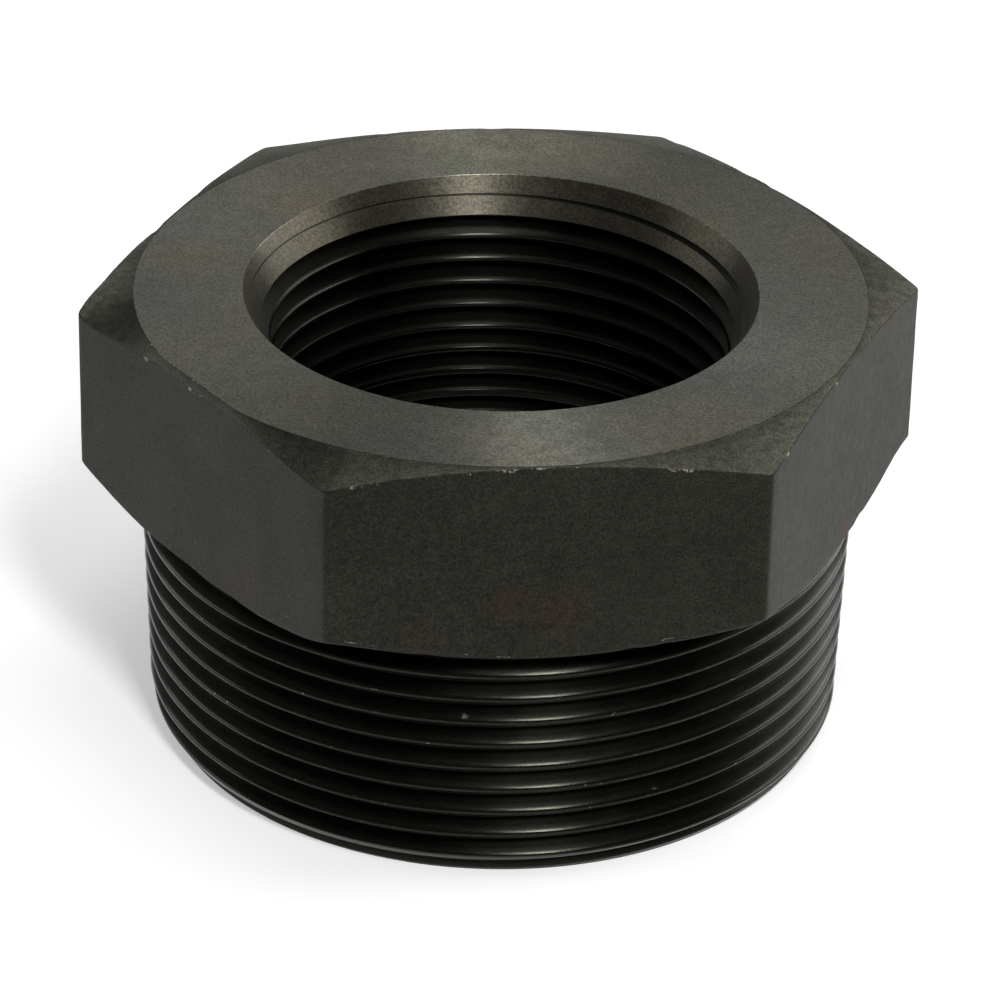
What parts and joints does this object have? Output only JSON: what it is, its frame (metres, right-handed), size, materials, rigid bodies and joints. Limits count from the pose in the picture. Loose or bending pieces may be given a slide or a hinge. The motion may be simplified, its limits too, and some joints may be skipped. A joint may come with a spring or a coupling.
{
  "type": "hex bushing",
  "caption": "Forged steel reducing bushing with a hexagon head, a taper pipe thread outside and a smaller female pipe thread down the middle.",
  "frame": {"origin": "centre of the male end face, the lowest face, which it stands on", "axes": "+Z runs along the axis from the male end to the hexagon head; two of the six wrench flats face -Y and +Y"},
  "size_m": [0.0714, 0.062, 0.0395],
  "materials": {
    "forged_steel": "black oiled forged steel, turned on the end faces"
  },
  "bodies": {
    "root": {"hex_bushing": "forged_steel"}
  },
  "joints": []
}
